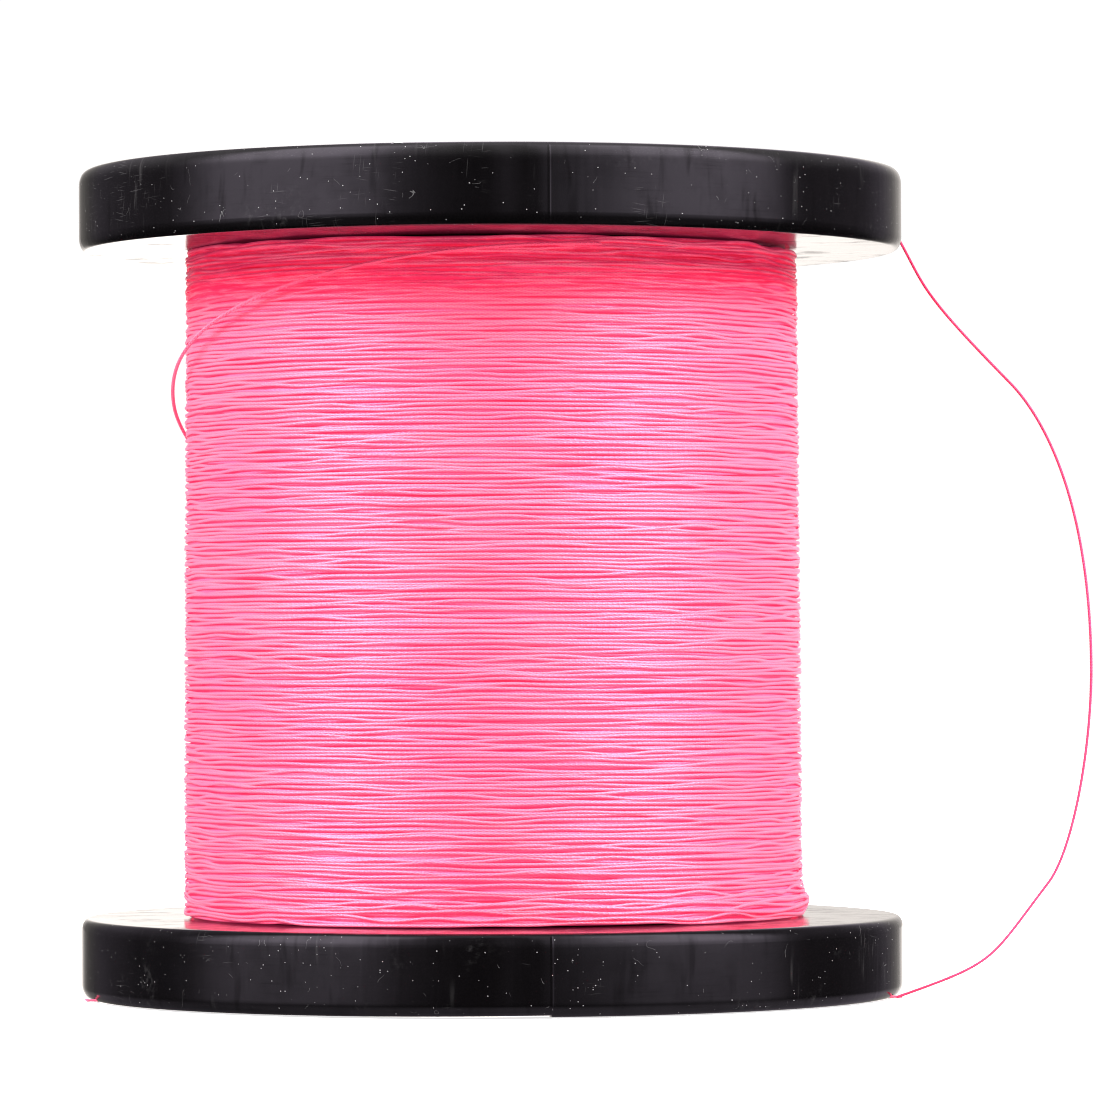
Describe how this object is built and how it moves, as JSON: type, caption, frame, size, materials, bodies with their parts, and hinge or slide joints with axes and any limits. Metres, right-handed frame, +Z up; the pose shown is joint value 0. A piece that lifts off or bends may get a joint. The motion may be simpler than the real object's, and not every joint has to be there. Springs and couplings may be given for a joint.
{
  "type": "fishing line spool",
  "caption": "Flanged cylindrical plastic spool full of pink braided fishing line, with a slack turn and a bowed free end held at the rims.",
  "frame": {"origin": "on the spool axis at the plane the bottom rim stands on", "axes": "+Z up the spool axis, +X towards the side the free end hangs on, -Y towards the front"},
  "size_m": [0.1536, 0.125, 0.125],
  "materials": {
    "flange_plastic": "glossy black moulded styrene, lightly scuffed",
    "core_plastic": "as-extruded black",
    "label_paper": "blank uncoated paper",
    "braided_line": "satin braided polyethylene fibre"
  },
  "bodies": {
    "spool": {"bottom_flange": "flange_plastic", "top_flange": "flange_plastic", "drum": "core_plastic", "arbor_tube": "core_plastic", "bottom_label": "label_paper", "top_label": "label_paper", "wound_line": "braided_line", "line_start": "braided_line", "lead_out": "braided_line", "under_run": "braided_line"},
    "free_end": {"line_tail": "braided_line"},
    "slack": {"loose_turn": "braided_line"}
  },
  "joints": [
    {"name": "tail_swing", "type": "hinge", "parent": "spool", "child": "free_end", "pos_m": [0.06061, -0.01681, 0.00032], "axis": [0.0127, 0.223, 0.9747], "range_deg": [-75, 65]},
    {"name": "loose_turn_slide", "type": "hinge", "parent": "spool", "child": "slack", "pos_m": [0, 0, 0.06], "axis": [0, 0, 1], "range_deg": [-20, 20]}
  ]
}
